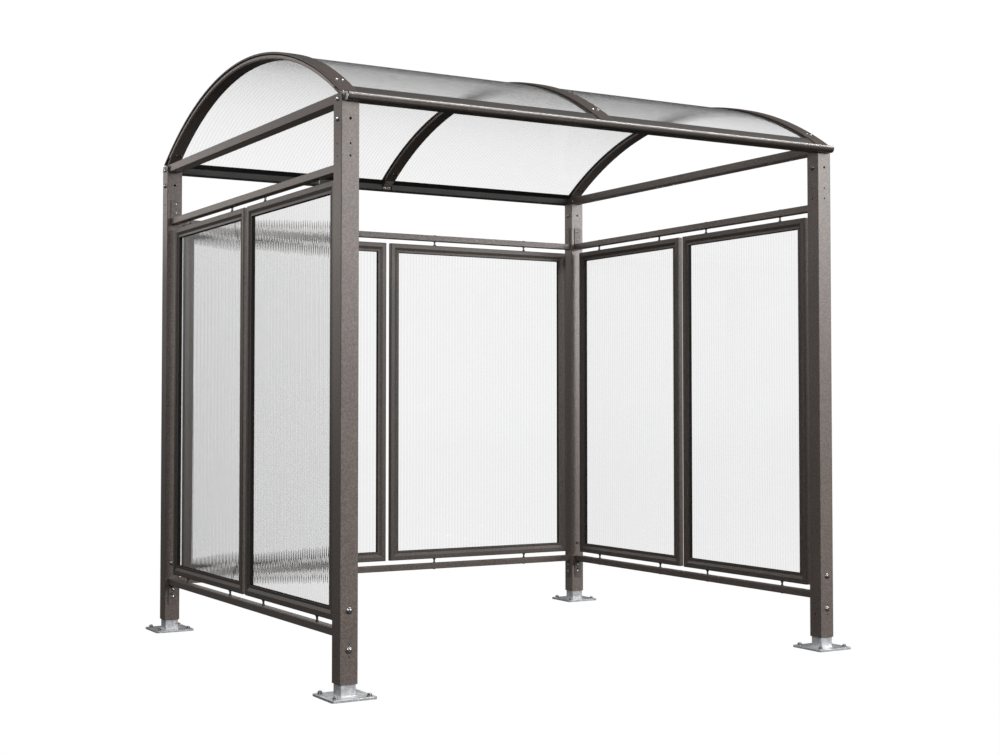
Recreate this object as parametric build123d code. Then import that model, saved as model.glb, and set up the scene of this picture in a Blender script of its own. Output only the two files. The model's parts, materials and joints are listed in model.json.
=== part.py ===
from build123d import *
import os

# Open-front bike shelter: four square posts on bolted base plates, three walls
# of framed ribbed sheet hung between rails, and a barrel roof of two curved
# sheets on three arches, with a rounded eaves gutter at the front and the back.
# Frame: +Z up, the open front faces -Y, ground level is z = 0, the origin is
# at the middle of the plan. Millimetres.

# ---- driving dimensions -------------------------------------------------
SPAN_X = 2530.0          # post centre to post centre, across the front
SPAN_Y = 2196.0          # post centre to post centre, front to back
POST = 80.0              # square post
POST_WALL = 4.0
POST_Z0 = 57.0           # post's lower end, above the ground
POST_Z1 = 2404.0         # post's seat for the beam and the gutter
EAR_Z1 = 2438.0          # outer wall of the post left standing beside the beam
PLATE = 200.0            # base plate
PLATE_T = 10.0
PLATE_R = 12.0
ANCHOR = 150.0           # anchor hole spacing, both ways
ANCHOR_D = 14.0
SOCKET = 70.0            # tube on the base plate that goes up inside the post
SOCKET_WALL = 4.0
SOCKET_Z1 = 400.0
BEAM_W, BEAM_H, BEAM_WALL = 60.0, 40.0, 3.0
RAIL_D, RAIL_H, RAIL_WALL = 42.0, 33.0, 3.0
RAIL_TOP_Z0 = 2126.5     # underside of the upper rails
RAIL_LOW_Z0 = 238.0      # underside of the lower rails
TAB_T, TAB_L = 5.0, 97.0 # end tab of a rail: thickness, reach past the rail
FRAME_Z0, FRAME_Z1 = 297.0, 2101.0
FRAME_T = 32.0
FRAME_FACE = 52.0        # width of a frame member, seen from the front
FRAME_IN = 3.0           # frames stand this much towards the inside
SIDE_GAP, SIDE_END = 38.0, 48.0      # side walls: between frames, frame to post
BACK_GAP, BACK_END = 28.0, 28.0      # back wall: the same
SHEET_T = 6.0            # wall sheet
SHEET_BITE = 17.0        # depth that a wall sheet goes into its frame
STUD_D = 14.0
STUD_SIDE = (212.0, 814.0)
STUD_BACK = (302.0, 905.0)
ARC_Z = 744.3            # height of the roof arc's centre
R_BAR0, R_BAR1 = 2013.0, 2025.0      # arch bar
R_SHEET1 = 2035.0                    # outer face of the roof sheet
R_CAP0, R_CAP1 = 2037.5, 2044.5      # cap strip
ARCH_W, RIB_W, CAP_W = 60.0, 16.0, 76.0
CAP_OUT = 28.0           # cap's end, beyond the post axis
SHEET_OUT = 24.0         # roof sheet's end, beyond the post axis
GUT_HALF = 1290.0        # half length of a gutter
GUT_IN, GUT_NOSE, GUT_R, GUT_T = 14.0, 67.0, 17.0, 3.0
SEAT_IN, LIP_OUT = 20.0, 27.0
COVER_IN, COVER_IN_BACK = 37.0, 20.0

HX, HY = SPAN_X / 2, SPAN_Y / 2
os.makedirs("parts", exist_ok=True)


def block(x0, x1, y0, y1, z0, z1):
    """Box between two corners."""
    return Pos((x0 + x1) / 2, (y0 + y1) / 2, (z0 + z1) / 2) * Box(
        abs(x1 - x0), abs(y1 - y0), abs(z1 - z0))


def save(shape, name):
    """One file for one piece, or for like pieces that do not touch."""
    solids = list(shape.solids()) if not isinstance(shape, list) else shape
    out = solids[0] if len(solids) == 1 else Compound(children=solids)
    out.label = name
    export_step(out, os.path.join("parts", name + ".step"))


def section(u0, u1, z0, z1):
    """Rectangle in the roof's cross section; u is the distance from the middle."""
    return Pos((u0 + u1) / 2, (z0 + z1) / 2) * Rectangle(u1 - u0, z1 - z0)


def ring(r0, r1):
    """Full ring about the roof arc's centre, in the cross section."""
    return Pos(0, ARC_Z) * (Circle(r1) - Circle(r0))


def along_x(face, x0, x1):
    """Stretch a cross section (u = Y, v = Z) from x0 to x1."""
    return Plane(origin=(x0, 0, 0), x_dir=(0, 1, 0), z_dir=(1, 0, 0)) * extrude(
        face, x1 - x0)


# ---- posts --------------------------------------------------------------
def post(sx, sy):
    cx, cy, h = sx * HX, sy * HY, POST / 2
    tube = block(cx - h, cx + h, cy - h, cy + h, POST_Z0, POST_Z1)
    tube = fillet(tube.edges().filter_by(Axis.Z), 4.0)
    i = h - POST_WALL
    tube -= block(cx - i, cx + i, cy - i, cy + i, POST_Z0 - 1, POST_Z1 + 1)
    outer = cx + sx * h
    ear = block(outer, outer - sx * POST_WALL, cy - h + 4, cy + h - 4,
                POST_Z1 - 20, EAR_Z1)
    return tube + ear


# ---- base plates with their sockets -------------------------------------
def base(sx, sy):
    cx, cy, p = sx * HX, sy * HY, PLATE / 2
    plate = block(cx - p, cx + p, cy - p, cy + p, 0, PLATE_T)
    plate = fillet(plate.edges().filter_by(Axis.Z), PLATE_R)
    for ax in (-1, 1):
        for ay in (-1, 1):
            plate -= Pos(cx + ax * ANCHOR / 2, cy + ay * ANCHOR / 2, PLATE_T / 2) * \
                Cylinder(ANCHOR_D / 2, PLATE_T + 2)
    s, i = SOCKET / 2, SOCKET / 2 - SOCKET_WALL
    tube = block(cx - s, cx + s, cy - s, cy + s, PLATE_T, SOCKET_Z1)
    tube = fillet(tube.edges().filter_by(Axis.Z), 5.0)
    tube -= block(cx - i, cx + i, cy - i, cy + i, PLATE_T, SOCKET_Z1 + 1)
    return plate + tube


for sy, fb in ((-1, "front"), (1, "back")):
    for sx, lr in ((-1, "left"), (1, "right")):
        save(post(sx, sy), f"post_{fb}_{lr}")
        save(base(sx, sy), f"base_plate_{fb}_{lr}")

# ---- side beams on the post tops ----------------------------------------
BEAM_END = HY + GUT_IN
for sx, lr in ((-1, "left"), (1, "right")):
    cx, w = sx * HX, BEAM_W / 2
    beam = block(cx - w, cx + w, -BEAM_END, BEAM_END, POST_Z1, POST_Z1 + BEAM_H)
    beam = fillet(beam.edges().filter_by(Axis.Y), 3.0)
    beam -= block(cx - w + BEAM_WALL, cx + w - BEAM_WALL, -BEAM_END - 1, BEAM_END + 1,
                  POST_Z1 + BEAM_WALL, POST_Z1 + BEAM_H - BEAM_WALL)
    # the ends stay under the roof sheet
    beam -= along_x(ring(R_BAR1, R_BAR1 + 200), cx - w - 1, cx + w + 1)
    save(beam, f"side_beam_{lr}")

# ---- eaves gutters ------------------------------------------------------
def gutter_face(cover):
    a = HY
    z0, zn = POST_Z1, POST_Z1 + GUT_R
    g = section(a + GUT_IN, a + GUT_IN + GUT_T, z0, z0 + 60) & (
        Pos(0, ARC_Z) * Circle(R_BAR1))
    g += section(a + GUT_IN, a + GUT_NOSE, z0, z0 + GUT_T)
    nose = Pos(a + GUT_NOSE, zn) * (Circle(GUT_R) - Circle(GUT_R - GUT_T))
    g += nose & section(a + GUT_NOSE, a + GUT_NOSE + GUT_R, z0, z0 + 2 * GUT_R)
    g += section(a + GUT_NOSE - 8, a + GUT_NOSE, z0 + 2 * GUT_R - GUT_T, z0 + 2 * GUT_R)
    g += section(a + GUT_NOSE - 8, a + GUT_NOSE - 5.5, z0, z0 + 2 * GUT_R)
    g += ring(R_BAR1 - 3, R_BAR1) & section(a - SEAT_IN, a + LIP_OUT, z0, z0 + 120)
    g += ring(R_SHEET1, R_CAP0) & section(a - cover, a + LIP_OUT, z0, z0 + 120)
    g += ring(R_BAR1 - 3, R_CAP0) & section(a + LIP_OUT - 2.5, a + LIP_OUT, z0, z0 + 120)
    # screw ports in the extrusion
    for u in (25.0, 49.0):
        g += Pos(a + u, z0 + 7.0) * Circle(5.0)
        g -= Pos(a + u, z0 + 7.5) * Circle(2.2)
    return g


ARCH_X = {"left": -HX, "middle": 0.0, "right": HX}


def gutter(cover):
    g = along_x(gutter_face(cover), -GUT_HALF, GUT_HALF)
    for cx in ARCH_X.values():
        notch = (Pos(0, ARC_Z) * Circle(R_BAR1 + 3)) & section(HY - 40, HY + GUT_IN, POST_Z1, POST_Z1 + 120)
        g -= along_x(notch, cx - ARCH_W / 2 - 1, cx + ARCH_W / 2 + 1)
    return g


save(gutter(COVER_IN_BACK), "gutter_back")
save(mirror(gutter(COVER_IN), Plane.XZ), "gutter_front")

# ---- arches and their cap strips ----------------------------------------
UPPER = 1300.0
wide = section(-(HY + GUT_IN), HY + GUT_IN, ARC_Z + UPPER, ARC_Z + 2100)
bar_face = ring(R_BAR0, R_BAR1) & wide
rib_low = ring(R_BAR1, R_SHEET1) & section(-(HY + SHEET_OUT), HY + SHEET_OUT, ARC_Z + UPPER, ARC_Z + 2100)
rib_high = ring(R_BAR1, R_CAP0) & section(-(HY - COVER_IN - 1), HY - COVER_IN - 1, ARC_Z + UPPER, ARC_Z + 2100)
cap_face = ring(R_CAP0, R_CAP1) & section(-(HY + CAP_OUT), HY + CAP_OUT, ARC_Z + UPPER, ARC_Z + 2100)
for name, cx in ARCH_X.items():
    bar = along_x(bar_face, cx - ARCH_W / 2, cx + ARCH_W / 2)
    rib = along_x(rib_low + rib_high, cx - RIB_W / 2, cx + RIB_W / 2)
    if name != "middle":
        # end arches stand on the side beams
        bar -= block(cx - 50, cx + 50, -HY - 60, HY + 60, POST_Z1 - 50, POST_Z1 + BEAM_H)
    save(bar + rib, f"arch_{name}")
    save(along_x(cap_face, cx - CAP_W / 2, cx + CAP_W / 2), f"arch_cap_{name}")

# ---- roof sheets --------------------------------------------------------
sheet_face = ring(R_BAR1 + 0.1, R_SHEET1 - 0.1) & section(
    -(HY + SHEET_OUT), HY + SHEET_OUT, ARC_Z + UPPER, ARC_Z + 2100)
edge = RIB_W / 2 + 1
save(along_x(sheet_face, -HX + edge, -edge), "roof_sheet_left")
save(along_x(sheet_face, edge, HX - edge), "roof_sheet_right")

# ---- rails with their end tabs ------------------------------------------
def rail(length, z0, up):
    """Rail along X about the origin, with a tab at each end."""
    l, d = length / 2, RAIL_D / 2
    r = block(-l, l, -d, d, z0, z0 + RAIL_H)
    r = fillet(r.edges().filter_by(Axis.X), 3.0)
    r -= block(-l - 1, l + 1, -d + RAIL_WALL, d - RAIL_WALL, z0 + RAIL_WALL, z0 + RAIL_H - RAIL_WALL)
    for s in (-1, 1):
        za, zb = (z0, z0 + RAIL_H + TAB_L) if up else (z0 - TAB_L, z0 + RAIL_H)
        r += block(s * l, s * (l - TAB_T), -d, d, za, zb)
        # drain hole of the tube, in the tab
        r -= Pos(s * l, 0, z0 + RAIL_H / 2) * (Rot(0, 90, 0) * Cylinder(8.0, 4 * TAB_T))
    return r


for level, z0, up in (("upper", RAIL_TOP_Z0, True), ("lower", RAIL_LOW_Z0, False)):
    side = Rot(0, 0, 90) * rail(SPAN_Y - POST, z0, up)
    save(Pos(-HX, 0, 0) * side, f"rail_left_{level}")
    save(Pos(HX, 0, 0) * side, f"rail_right_{level}")
    save(Pos(0, HY, 0) * rail(SPAN_X - POST, z0, up), f"rail_back_{level}")

# ---- framed wall panels -------------------------------------------------
FH = FRAME_Z1 - FRAME_Z0
FZ = (FRAME_Z0 + FRAME_Z1) / 2


def frame(width):
    """Panel frame in the X-Z plane about the origin."""
    t = FRAME_T / 2
    f = Box(width, FRAME_T, FH)
    f = fillet(f.edges().filter_by(Axis.Y), 4.0)
    f -= Box(width - 2 * FRAME_FACE, FRAME_T + 2, FH - 2 * FRAME_FACE)
    bite = 2 * (FRAME_FACE - SHEET_BITE)
    f -= Box(width - bite, SHEET_T, FH - bite)
    for s in (-1, 1):
        p0 = Plane(origin=(0, s * 10.0, 0), x_dir=(1, 0, 0), z_dir=(0, s, 0))
        p1 = Plane(origin=(0, s * (t + 0.01), 0), x_dir=(1, 0, 0), z_dir=(0, s, 0))
        low = p0 * Rectangle(width - 80, FH - 80)
        high = p1 * Rectangle(width - 50, FH - 50)
        f -= loft([low, high], ruled=True)
    return f


def panel_sheet(width):
    bite = 2 * (FRAME_FACE - SHEET_BITE) + 2
    return Box(width - bite, SHEET_T, FH - bite)


def spread(length, gap, end):
    """Middle and width of each of the two panels of a wall."""
    lo = gap / 2
    hi = length / 2 - POST / 2 - end
    return (lo + hi) / 2, hi - lo


mid_y, w_side = spread(SPAN_Y, SIDE_GAP, SIDE_END)
mid_x, w_back = spread(SPAN_X, BACK_GAP, BACK_END)
side_frame, side_sheet = frame(w_side), panel_sheet(w_side)
back_frame, back_sheet = frame(w_back), panel_sheet(w_back)
for sx, lr in ((-1, "left"), (1, "right")):
    for sy, fb in ((-1, "front"), (1, "back")):
        place = Pos(sx * (HX - FRAME_IN), sy * mid_y, FZ) * Rot(0, 0, 90)
        save(place * side_frame, f"panel_frame_{lr}_{fb}")
        save(place * side_sheet, f"panel_sheet_{lr}_{fb}")
    place = Pos(sx * mid_x, HY - FRAME_IN, FZ)
    save(place * back_frame, f"panel_frame_back_{lr}")
    save(place * back_sheet, f"panel_sheet_back_{lr}")

# ---- studs between rails and frames -------------------------------------
def studs(points):
    out = []
    for x, y in points:
        for z0, z1 in ((FRAME_Z1, RAIL_TOP_Z0), (RAIL_LOW_Z0 + RAIL_H, FRAME_Z0)):
            out.append(Pos(x, y, (z0 + z1) / 2) * Cylinder(STUD_D / 2, z1 - z0))
    return [s for part in out for s in part.solids()]


for sx, lr in ((-1, "left"), (1, "right")):
    save(studs([(sx * (HX - FRAME_IN), s * y) for s in (-1, 1) for y in STUD_SIDE]), f"studs_{lr}")
save(studs([(s * x, HY - FRAME_IN) for s in (-1, 1) for x in STUD_BACK]), "studs_back")
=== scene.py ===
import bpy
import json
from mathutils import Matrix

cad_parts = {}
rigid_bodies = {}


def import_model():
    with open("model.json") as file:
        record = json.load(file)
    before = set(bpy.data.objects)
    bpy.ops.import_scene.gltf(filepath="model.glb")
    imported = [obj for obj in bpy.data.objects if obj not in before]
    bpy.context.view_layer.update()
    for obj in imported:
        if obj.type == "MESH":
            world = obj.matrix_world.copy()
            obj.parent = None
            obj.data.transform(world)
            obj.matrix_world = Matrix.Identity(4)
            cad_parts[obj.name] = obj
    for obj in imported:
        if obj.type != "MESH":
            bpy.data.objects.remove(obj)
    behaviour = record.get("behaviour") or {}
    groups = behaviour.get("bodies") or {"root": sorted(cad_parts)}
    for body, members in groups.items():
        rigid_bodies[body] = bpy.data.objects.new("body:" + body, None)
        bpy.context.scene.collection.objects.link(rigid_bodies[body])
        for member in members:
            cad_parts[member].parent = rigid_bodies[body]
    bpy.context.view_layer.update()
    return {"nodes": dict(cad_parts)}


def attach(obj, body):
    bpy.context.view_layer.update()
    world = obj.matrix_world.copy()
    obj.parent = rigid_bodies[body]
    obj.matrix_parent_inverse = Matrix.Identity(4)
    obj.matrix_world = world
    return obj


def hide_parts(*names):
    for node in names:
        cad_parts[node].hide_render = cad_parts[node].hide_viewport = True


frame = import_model()

import json
import math

import bmesh
import bpy
import numpy as np
from mathutils import Vector
from mathutils.geometry import tessellate_polygon

NODES = frame["nodes"]
scene = bpy.context.scene
TAU = 2.0 * math.pi

# ---------------------------------------------------------------- sizes, mm
HX, HY = 1265.0, 1098.0            # post centres
POST, WALL = 80.0, 4.0
POST_Z0, POST_Z1, EAR_Z1 = 57.0, 2404.0, 2438.0
ARC_Z = 744.3                      # centre of the roof arc
R_BAR0, R_BAR1 = 2013.0, 2025.0    # arch bar
R_SHEET = 2030.0                   # middle of the roof sheet
R_CAP0, R_CAP1 = 2037.5, 2044.5    # cap strip
RAIL_UP, RAIL_LOW = (2126.5, 2159.5), (238.0, 271.0)
FR_Z0, FR_Z1 = 297.0, 2101.0       # panel frames
GUT_T, SEAT_IN, LIP_OUT = 3.0, 20.0, 27.0
PITCH = 19.5                       # ribs of the clear sheets


# ---------------------------------------------------------------- mesh kit
class Build:
    """Collects verts (mm) and faces for one piece."""

    def __init__(self):
        self.v, self.f, self.m = [], [], []

    def add(self, verts, faces, mat=0):
        base = len(self.v)
        self.v.extend((float(p[0]), float(p[1]), float(p[2])) for p in verts)
        self.f.extend(tuple(base + i for i in f) for f in faces)
        self.m.extend([mat] * len(faces))

    def loft(self, rings, mat=0, caps=True, closed=True, loop=False):
        n = len(rings[0])
        verts = [p for r in rings for p in r]
        faces = []
        m = len(rings)
        for i in range(m if loop else m - 1):
            a, b = i * n, ((i + 1) % m) * n
            for j in range(n if closed else n - 1):
                k = (j + 1) % n
                faces.append((a + j, a + k, b + k, b + j))
        if caps and not loop:
            for base in (0, (m - 1) * n):
                ring = [Vector(verts[base + j]) for j in range(n)]
                faces += [tuple(base + i for i in t) for t in tessellate_polygon([ring])]
        self.add(verts, faces, mat)

    def lathe(self, profile, origin, axis, seg=24, mat=0):
        """profile: (radius, height) from the first pole to the last, along axis."""
        e1, e2, n = basis(axis)
        o = Vector(origin)
        verts, faces, rows = [], [], []
        for r, h in profile:
            if r <= 1e-6:
                rows.append([len(verts)])
                verts.append(o + n * h)
            else:
                rows.append(list(range(len(verts), len(verts) + seg)))
                for j in range(seg):
                    t = TAU * j / seg
                    verts.append(o + n * h + e1 * (r * math.cos(t)) + e2 * (r * math.sin(t)))
        for a, b in zip(rows, rows[1:]):
            for j in range(seg):
                k = (j + 1) % seg
                if len(a) == 1 and len(b) == 1:
                    continue
                if len(a) == 1:
                    faces.append((a[0], b[k], b[j]))
                elif len(b) == 1:
                    faces.append((a[j], a[k], b[0]))
                else:
                    faces.append((a[j], a[k], b[k], b[j]))
        self.add(verts, faces, mat)

    def piece(self, name, mats, slot, nodes=(), sharp=40.0, weld=True, weighted=False):
        me = bpy.data.meshes.new(name)
        co = np.array(self.v, dtype=float) * 0.001
        me.from_pydata(co.tolist(), [], self.f)
        for mat in mats:
            me.materials.append(mat)
        me.polygons.foreach_set("material_index", np.array(self.m, dtype=np.int32))
        bm = bmesh.new()
        bm.from_mesh(me)
        if weld:
            bmesh.ops.remove_doubles(bm, verts=bm.verts, dist=2e-6)
        bmesh.ops.recalc_face_normals(bm, faces=bm.faces)
        bm.to_mesh(me)
        bm.free()
        me.polygons.foreach_set("use_smooth", np.ones(len(me.polygons), dtype=bool))
        me.set_sharp_from_angle(angle=math.radians(sharp))
        me.update()
        ob = bpy.data.objects.new(name, me)
        scene.collection.objects.link(ob)
        if weighted:
            mod = ob.modifiers.new("weighted", "WEIGHTED_NORMAL")
            mod.mode = "FACE_AREA"
            mod.weight = 80
            mod.keep_sharp = True
        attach(ob, "root")
        if nodes:
            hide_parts(*nodes)
        return ob


def basis(axis):
    n = Vector(axis).normalized()
    up = Vector((0, 0, 1)) if abs(n.z) < 0.9 else Vector((1, 0, 0))
    e1 = up.cross(n).normalized()
    return e1, n.cross(e1), n


def rounded(poly, radii, n=4):
    """Closed polygon with rounded corners."""
    out = []
    m = len(poly)
    for i, (p, r) in enumerate(zip(poly, radii)):
        p = Vector((p[0], p[1]))
        a, b = Vector(poly[i - 1][:2]), Vector(poly[(i + 1) % m][:2])
        if r <= 0:
            out.append((p.x, p.y))
            continue
        d0, d1 = (a - p), (b - p)
        l0, l1 = d0.length, d1.length
        d0.normalize()
        d1.normalize()
        ang = math.acos(max(-1.0, min(1.0, d0.dot(d1))))
        t = min(r / math.tan(ang / 2), 0.49 * l0, 0.49 * l1)
        r = t * math.tan(ang / 2)
        c = p + (d0 + d1).normalized() * (r / math.sin(ang / 2))
        s, e = p + d0 * t - c, p + d1 * t - c
        a0 = math.atan2(s.y, s.x)
        da = (math.atan2(e.y, e.x) - a0 + math.pi) % TAU - math.pi
        for k in range(n + 1):
            q = a0 + da * k / n
            out.append((c.x + r * math.cos(q), c.y + r * math.sin(q)))
    return out


def on_arc(x, r, phi):
    """Point of the roof arc: x across, radius, angle from the crown towards +Y."""
    return Vector((x, r * math.sin(phi), ARC_Z + r * math.cos(phi)))


# ---------------------------------------------------------------- materials
def new_mat(name):
    mat = bpy.data.materials.new(name)
    mat.use_nodes = True
    nt = mat.node_tree
    nt.nodes.clear()
    out = nt.nodes.new("ShaderNodeOutputMaterial")
    bsdf = nt.nodes.new("ShaderNodeBsdfPrincipled")
    nt.links.new(bsdf.outputs[0], out.inputs[0])
    return mat, nt, bsdf, out


def node(nt, kind, **props):
    n = nt.nodes.new(kind)
    for k, v in props.items():
        setattr(n, k, v)
    return n


def noise(nt, vec, scale, detail=2.0, rough=0.5, dist=0.0):
    n = node(nt, "ShaderNodeTexNoise")
    n.inputs["Scale"].default_value = scale
    n.inputs["Detail"].default_value = detail
    n.inputs["Roughness"].default_value = rough
    n.inputs["Distortion"].default_value = dist
    nt.links.new(vec, n.inputs["Vector"])
    return n.outputs["Fac"]


def ramp(nt, fac, stops):
    n = node(nt, "ShaderNodeValToRGB")
    el = n.color_ramp.elements
    while len(el) < len(stops):
        el.new(0.5)
    for e, (pos, col) in zip(el, stops):
        e.position = pos
        e.color = (*col, 1.0) if len(col) == 3 else col
    nt.links.new(fac, n.inputs["Fac"])
    return n.outputs["Color"]


def remap(nt, val, a, b, c, d):
    n = node(nt, "ShaderNodeMapRange")
    for key, v in zip(("From Min", "From Max", "To Min", "To Max"), (a, b, c, d)):
        n.inputs[key].default_value = v
    nt.links.new(val, n.inputs["Value"])
    return n.outputs["Result"]


def math_node(nt, op, a, b=None):
    n = node(nt, "ShaderNodeMath", operation=op)
    for sock, v in zip(n.inputs, (a, b)):
        if v is None:
            continue
        if hasattr(v, "default_value"):
            nt.links.new(v, sock)
        else:
            sock.default_value = v
    return n.outputs[0]


def mix_col(nt, fac, a, b, blend="MIX"):
    n = node(nt, "ShaderNodeMix", data_type="RGBA", blend_type=blend)
    for sock, v in ((n.inputs[0], fac), (n.inputs[6], a), (n.inputs[7], b)):
        if hasattr(v, "default_value"):
            nt.links.new(v, sock)
        elif isinstance(v, (int, float)):
            sock.default_value = v
        else:
            sock.default_value = (*v, 1.0)
    return n.outputs[2]


def bump(nt, height, strength, distance, normal=None):
    n = node(nt, "ShaderNodeBump")
    n.inputs["Strength"].default_value = strength
    n.inputs["Distance"].default_value = distance
    nt.links.new(height, n.inputs["Height"])
    if normal is not None:
        nt.links.new(normal, n.inputs["Normal"])
    return n.outputs["Normal"]


def obj_coord(nt):
    return node(nt, "ShaderNodeTexCoord").outputs["Object"]


def powder_coat(name, tone, rough=(0.42, 0.58), bump_mm=0.06):
    """Textured powder coat: specks 3 to 9 mm across over finer grain and a slow drift of tone."""
    mat, nt, bsdf, _ = new_mat(name)
    co = obj_coord(nt)
    speck = noise(nt, co, 125.0, 2.0, 0.65)
    grain = noise(nt, co, 520.0, 2.0, 0.55)
    drift = noise(nt, co, 4.0, 3.0, 0.55)
    col = ramp(nt, speck, [(0.30, [c * 0.70 for c in tone]), (0.50, tone), (0.70, [c * 1.36 for c in tone])])
    fine = remap(nt, grain, 0.25, 0.75, 0.84, 1.16)
    slow = remap(nt, drift, 0.3, 0.7, 0.95, 1.05)
    scale = node(nt, "ShaderNodeVectorMath", operation="SCALE")
    nt.links.new(col, scale.inputs[0])
    nt.links.new(math_node(nt, "MULTIPLY", fine, slow), scale.inputs["Scale"])
    nt.links.new(scale.outputs[0], bsdf.inputs["Base Color"])
    nt.links.new(remap(nt, grain, 0.3, 0.7, rough[0], rough[1]), bsdf.inputs["Roughness"])
    orange = noise(nt, co, 180.0, 2.0, 0.5)
    high = math_node(nt, "ADD", math_node(nt, "MULTIPLY", orange, 0.7), math_node(nt, "MULTIPLY", grain, 0.5))
    nt.links.new(bump(nt, high, 0.5, bump_mm * 0.001), bsdf.inputs["Normal"])
    bsdf.inputs["Specular IOR Level"].default_value = 0.45
    return mat


def galvanised(name):
    """Hot-dip zinc: spangle about 8 mm across, dull patches, fine bump."""
    mat, nt, bsdf, _ = new_mat(name)
    co = obj_coord(nt)
    warp = noise(nt, co, 60.0, 2.0)
    add = node(nt, "ShaderNodeVectorMath", operation="ADD")
    sc = node(nt, "ShaderNodeVectorMath", operation="SCALE")
    sc.inputs["Scale"].default_value = 0.006
    comb = node(nt, "ShaderNodeCombineXYZ")
    for s in comb.inputs:
        nt.links.new(warp, s)
    nt.links.new(comb.outputs[0], sc.inputs[0])
    nt.links.new(co, add.inputs[0])
    nt.links.new(sc.outputs[0], add.inputs[1])
    vor = node(nt, "ShaderNodeTexVoronoi", feature="F1")
    vor.inputs["Scale"].default_value = 110.0
    nt.links.new(add.outputs[0], vor.inputs["Vector"])
    bw = node(nt, "ShaderNodeRGBToBW")
    nt.links.new(vor.outputs["Color"], bw.inputs[0])
    spangle = ramp(nt, bw.outputs[0], [(0.15, (0.50, 0.51, 0.53)), (0.5, (0.62, 0.63, 0.65)), (0.85, (0.74, 0.75, 0.77))])
    patch = noise(nt, co, 22.0, 4.0, 0.6)
    dull = remap(nt, patch, 0.45, 0.7, 0.0, 0.6)
    nt.links.new(mix_col(nt, dull, spangle, (0.56, 0.57, 0.58)), bsdf.inputs["Base Color"])
    bsdf.inputs["Metallic"].default_value = 0.55
    r = math_node(nt, "ADD", remap(nt, bw.outputs[0], 0.0, 1.0, 0.30, 0.46), math_node(nt, "MULTIPLY", dull, 0.16))
    nt.links.new(r, bsdf.inputs["Roughness"])
    fine = noise(nt, co, 350.0, 3.0)
    high = math_node(nt, "ADD", math_node(nt, "MULTIPLY", fine, 0.5), math_node(nt, "MULTIPLY", bw.outputs[0], 0.4))
    nt.links.new(bump(nt, high, 0.45, 0.0001), bsdf.inputs["Normal"])
    return mat


def metal(name, tone, rough, scale=(240.0, 240.0, 240.0), metallic=0.9):
    """Plain bright metal with fine brushed or plated grain."""
    mat, nt, bsdf, _ = new_mat(name)
    co = obj_coord(nt)
    mp = node(nt, "ShaderNodeMapping")
    mp.inputs["Scale"].default_value = scale
    nt.links.new(co, mp.inputs["Vector"])
    g = noise(nt, mp.outputs[0], 1.0, 4.0, 0.6)
    blot = noise(nt, co, 35.0, 3.0)
    lo, hi = [c * 0.82 for c in tone], [min(1.0, c * 1.12) for c in tone]
    col = ramp(nt, g, [(0.3, lo), (0.7, hi)])
    col = mix_col(nt, remap(nt, blot, 0.4, 0.75, 0.0, 0.4), col, [c * 0.75 for c in tone])
    nt.links.new(col, bsdf.inputs["Base Color"])
    bsdf.inputs["Metallic"].default_value = metallic
    nt.links.new(remap(nt, g, 0.25, 0.75, rough[0], rough[1]), bsdf.inputs["Roughness"])
    nt.links.new(bump(nt, g, 0.3, 0.00005), bsdf.inputs["Normal"])
    return mat


def rubber(name, lo=0.005, hi=0.011):
    mat, nt, bsdf, _ = new_mat(name)
    co = obj_coord(nt)
    g = noise(nt, co, 500.0, 3.0)
    d = noise(nt, co, 12.0, 3.0)
    col = ramp(nt, d, [(0.3, (lo, lo, lo)), (0.75, (hi, hi * 0.97, hi * 0.94))])
    nt.links.new(col, bsdf.inputs["Base Color"])
    nt.links.new(remap(nt, g, 0.3, 0.7, 0.6, 0.85), bsdf.inputs["Roughness"])
    nt.links.new(bump(nt, g, 0.4, 0.00006), bsdf.inputs["Normal"])
    bsdf.inputs["Specular IOR Level"].default_value = 0.2
    return mat


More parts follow.
